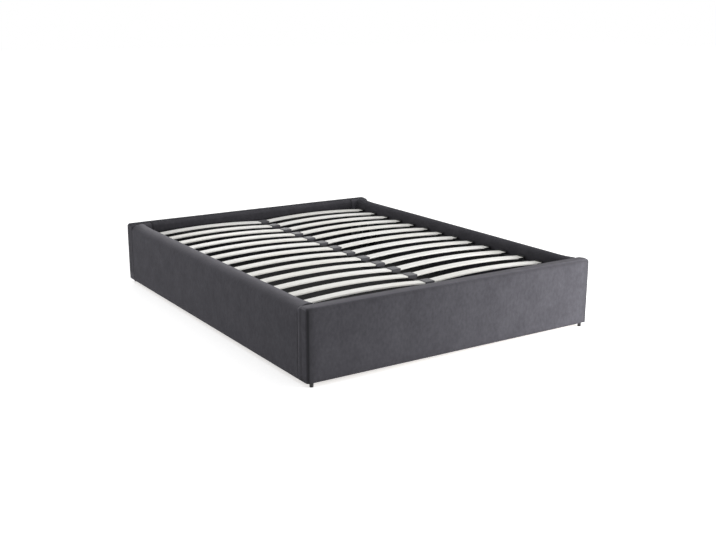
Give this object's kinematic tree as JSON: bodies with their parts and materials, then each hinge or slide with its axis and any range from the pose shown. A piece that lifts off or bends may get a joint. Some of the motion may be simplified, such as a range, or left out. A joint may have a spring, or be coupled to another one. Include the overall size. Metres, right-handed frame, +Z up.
{
  "type": "ottoman storage bed",
  "caption": "Low upholstered box bed with no headboard; the bowed-slat platform lifts on gas struts from the foot to open the storage space below.",
  "frame": {"origin": "on the floor under the middle of the bed", "axes": "+Y towards the head end, +X to the right seen from the foot, +Z up"},
  "size_m": [1.62, 2.07, 0.347],
  "materials": {
    "velvet": "short-pile velvet over foam",
    "board": "raw board",
    "batten_timber": "planed softwood, stained black",
    "floor_board": "black laminated board",
    "birch": "pale laminated birch, satin",
    "frame_steel": "black powder coat",
    "zinc_steel": "zinc plated",
    "black_plastic": "moulded, fine texture",
    "glide_plastic": "moulded",
    "rubber": "matt",
    "strut_black": "black gloss paint",
    "rod_steel": "hard chrome, polished"
  },
  "bodies": {
    "base": {"corner_brackets": "zinc_steel", "floor_battens": "batten_timber", "floor_boards": "floor_board", "foot_panel_core": "board", "foot_panel_cover": "velvet", "frame_bolts": "zinc_steel", "glides": "glide_plastic", "head_panel_core": "board", "head_panel_cover": "velvet", "hinge_base_left": "frame_steel", "hinge_base_right": "frame_steel", "pivot_bolts": "zinc_steel", "rest_battens": "batten_timber", "rest_pads": "rubber", "side_rail_core_left": "board", "side_rail_core_right": "board", "side_rail_cover_left": "velvet", "side_rail_cover_right": "velvet"},
    "lift_frame": {"arm_bolts": "zinc_steel", "centre_slat_caps": "black_plastic", "hinge_arm_left": "frame_steel", "hinge_arm_right": "frame_steel", "lift_centre_tube": "frame_steel", "lift_foot_tube": "frame_steel", "lift_head_tube": "frame_steel", "lift_side_tube_left": "frame_steel", "lift_side_tube_right": "frame_steel", "side_slat_holders": "black_plastic", "slat_left_01": "birch", "slat_left_02": "birch", "slat_left_03": "birch", "slat_left_04": "birch", "slat_left_05": "birch", "slat_left_06": "birch", "slat_left_07": "birch", "slat_left_08": "birch", "slat_left_09": "birch", "slat_left_10": "birch", "slat_left_11": "birch", "slat_left_12": "birch", "slat_left_13": "birch", "slat_right_01": "birch", "slat_right_02": "birch", "slat_right_03": "birch", "slat_right_04": "birch", "slat_right_05": "birch", "slat_right_06": "birch", "slat_right_07": "birch", "slat_right_08": "birch", "slat_right_09": "birch", "slat_right_10": "birch", "slat_right_11": "birch", "slat_right_12": "birch", "slat_right_13": "birch", "tube_end_plugs": "black_plastic"},
    "strut_cylinder_left": {"strut_cylinder_left": "strut_black"},
    "strut_cylinder_right": {"strut_cylinder_right": "strut_black"},
    "strut_rod_left": {"strut_rod_left": "rod_steel"},
    "strut_rod_right": {"strut_rod_right": "rod_steel"}
  },
  "joints": [
    {"name": "lift_hinge", "type": "hinge", "parent": "base", "child": "lift_frame", "pos_m": [0, 0.88, 0.228], "axis": [-1, 0, 0], "range_deg": [0, 35]},
    {"name": "strut_cylinder_pin_left", "type": "hinge", "parent": "base", "child": "strut_cylinder_left", "pos_m": [-0.704, 0.76702, 0.0586], "axis": [-1, 0, 0], "range_deg": [0, 17.5]},
    {"name": "strut_rod_pin_left", "type": "hinge", "parent": "lift_frame", "child": "strut_rod_left", "pos_m": [-0.704, 0.67655, 0.21983], "axis": [-1, 0, 0], "range_deg": [-17.5, 0]},
    {"name": "strut_cylinder_pin_right", "type": "hinge", "parent": "base", "child": "strut_cylinder_right", "pos_m": [0.704, 0.76702, 0.0586], "axis": [-1, 0, 0], "range_deg": [0, 17.5]},
    {"name": "strut_rod_pin_right", "type": "hinge", "parent": "lift_frame", "child": "strut_rod_right", "pos_m": [0.704, 0.67655, 0.21983], "axis": [-1, 0, 0], "range_deg": [-17.5, 0]}
  ],
  "couplings": [
    {"joint": "strut_cylinder_pin_left", "follows": "lift_hinge", "ratio": 0.5},
    {"joint": "strut_rod_pin_left", "follows": "lift_hinge", "ratio": -0.5},
    {"joint": "strut_cylinder_pin_right", "follows": "lift_hinge", "ratio": 0.5},
    {"joint": "strut_rod_pin_right", "follows": "lift_hinge", "ratio": -0.5}
  ]
}
